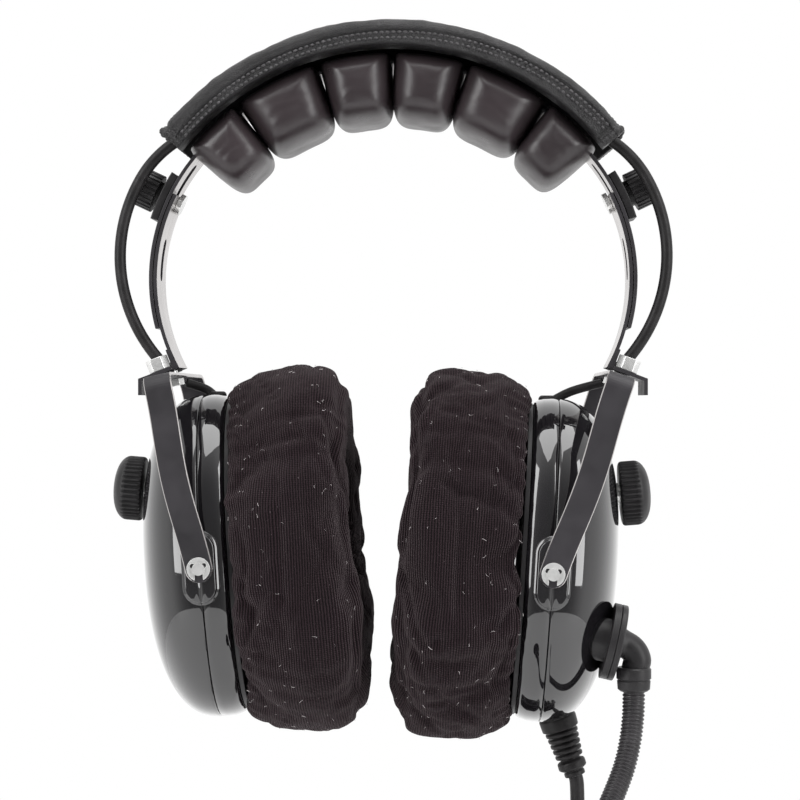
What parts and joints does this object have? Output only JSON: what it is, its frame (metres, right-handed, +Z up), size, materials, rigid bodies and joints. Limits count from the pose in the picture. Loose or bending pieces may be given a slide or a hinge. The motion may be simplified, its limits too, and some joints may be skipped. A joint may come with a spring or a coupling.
{
  "type": "aviation headset",
  "caption": "Over-ear aviation headset: padded spring headband, two cups on swivelling yokes with cloth-covered seals, boom microphone and twin-plug cable.",
  "frame": {"origin": "centre of the wearer's head, midway between the two cup pivots of the headset's centre plane", "axes": "+X to the wearer's left, on the boom's side; -Y forwards, the way the wearer faces; +Z up to the headband"},
  "size_m": [0.1852, 0.1666, 0.4273],
  "materials": {
    "spring_steel": "satin, pale inner face with dark edges",
    "dark_steel": "satin dark grey with bright worn edges",
    "bright_metal": "bright nickel",
    "black_plastic": "fine matt moulded",
    "gloss_shell": "high gloss",
    "leather": "grained, whip-stitched edge",
    "pillow_vinyl": "smooth soft vinyl",
    "seal_vinyl": "smooth",
    "knit_cloth": "ribbed knit with lint",
    "cable_rubber": "matt",
    "gooseneck_metal": "matt black, closely ribbed",
    "foam": "open foam",
    "plug_metal": "nickel-plated shaft, black handle"
  },
  "bodies": {
    "headband": {"headband_spring": "spring_steel", "headpad_cover": "leather", "head_pillow_1": "pillow_vinyl", "head_pillow_2": "pillow_vinyl", "head_pillow_3": "pillow_vinyl", "head_pillow_4": "pillow_vinyl", "head_pillow_5": "pillow_vinyl", "head_pillow_6": "pillow_vinyl"},
    "arm_l": {"arm_l": "spring_steel", "lock_block_l": "black_plastic", "lock_screw_l": "bright_metal", "cable_gland_l": "bright_metal", "cross_cable_l": "cable_rubber", "yoke_screw_l": "bright_metal"},
    "arm_r": {"arm_r": "spring_steel", "lock_block_r": "black_plastic", "lock_screw_r": "bright_metal", "cable_gland_r": "bright_metal", "cross_cable_r": "cable_rubber", "yoke_screw_r": "bright_metal"},
    "lock_knob_l": {"lock_knob_l": "black_plastic"},
    "lock_knob_r": {"lock_knob_r": "black_plastic"},
    "yoke_l": {"yoke_l": "dark_steel"},
    "yoke_r": {"yoke_r": "dark_steel"},
    "cup_l": {"outer_shell_l": "gloss_shell", "inner_shell_l": "gloss_shell", "baffle_l": "black_plastic", "speaker_l": "black_plastic", "pivot_pins_l": "bright_metal", "e_clips_l": "bright_metal", "ear_seal_l": "seal_vinyl", "seal_cover_l": "knit_cloth", "volume_pot_l": "bright_metal"},
    "cup_r": {"outer_shell_r": "gloss_shell", "inner_shell_r": "gloss_shell", "baffle_r": "black_plastic", "speaker_r": "black_plastic", "pivot_pins_r": "bright_metal", "e_clips_r": "bright_metal", "ear_seal_r": "seal_vinyl", "seal_cover_r": "knit_cloth", "volume_pot_r": "bright_metal", "boom_base": "black_plastic", "strain_relief": "cable_rubber", "cable_drop": "cable_rubber", "cable_coil": "cable_rubber", "cable_tie": "black_plastic", "cable_tail": "cable_rubber", "y_boot": "cable_rubber", "lead_phone": "cable_rubber", "lead_mic": "cable_rubber", "plug_phone": "plug_metal", "plug_mic": "plug_metal"},
    "volume_knob_l": {"volume_knob_l": "black_plastic"},
    "volume_knob_r": {"volume_knob_r": "black_plastic"},
    "boom": {"boom_elbow": "black_plastic", "boom_collar": "black_plastic", "gooseneck": "gooseneck_metal", "mic_housing": "black_plastic", "mic_windscreen": "foam"}
  },
  "joints": [
    {"name": "arm_adjust_l", "type": "hinge", "parent": "headband", "child": "arm_l", "pos_m": [-0.0168, 0, 0.0972], "axis": [0, 1, 0], "range_deg": [0, 6]},
    {"name": "arm_adjust_r", "type": "hinge", "parent": "headband", "child": "arm_r", "pos_m": [0.0168, 0, 0.0972], "axis": [0, -1, 0], "range_deg": [0, 6]},
    {"name": "lock_turn_l", "type": "hinge", "parent": "arm_l", "child": "lock_knob_l", "pos_m": [-0.08205, 0, 0.12763], "axis": [-0.9063, 0, 0.4226], "range_deg": [0, 360]},
    {"name": "lock_turn_r", "type": "hinge", "parent": "arm_r", "child": "lock_knob_r", "pos_m": [0.08205, 0, 0.12763], "axis": [0.9063, 0, 0.4226], "range_deg": [0, 360]},
    {"name": "yoke_swivel_l", "type": "hinge", "parent": "arm_l", "child": "yoke_l", "pos_m": [-0.07338, 0, 0.06532], "axis": [-0.22, 0, 0.9755], "range_deg": [-4, 4]},
    {"name": "yoke_swivel_r", "type": "hinge", "parent": "arm_r", "child": "yoke_r", "pos_m": [0.07338, 0, 0.06532], "axis": [0.329, 0, 0.9443], "range_deg": [-4, 4]},
    {"name": "cup_pivot_l", "type": "hinge", "parent": "yoke_l", "child": "cup_l", "pos_m": [-0.0596, 0, 0.0042], "axis": [0, 1, 0], "range_deg": [-1.5, 6]},
    {"name": "cup_pivot_r", "type": "hinge", "parent": "yoke_r", "child": "cup_r", "pos_m": [0.0516, 0, 0.0028], "axis": [0, -1, 0], "range_deg": [-1.5, 6]},
    {"name": "volume_turn_l", "type": "hinge", "parent": "cup_l", "child": "volume_knob_l", "pos_m": [-0.08166, 0, 0.0274], "axis": [-0.9969, 0, 0.0785], "range_deg": [-150, 150]},
    {"name": "volume_turn_r", "type": "hinge", "parent": "cup_r", "child": "volume_knob_r", "pos_m": [0.07366, 0, 0.026], "axis": [0.9969, 0, 0.0785], "range_deg": [-150, 150]},
    {"name": "boom_turn", "type": "hinge", "parent": "cup_r", "child": "boom", "pos_m": [0.0718, -0.022, -0.0205], "axis": [0.9744, 0, -0.225], "range_deg": [-100, 5]}
  ]
}
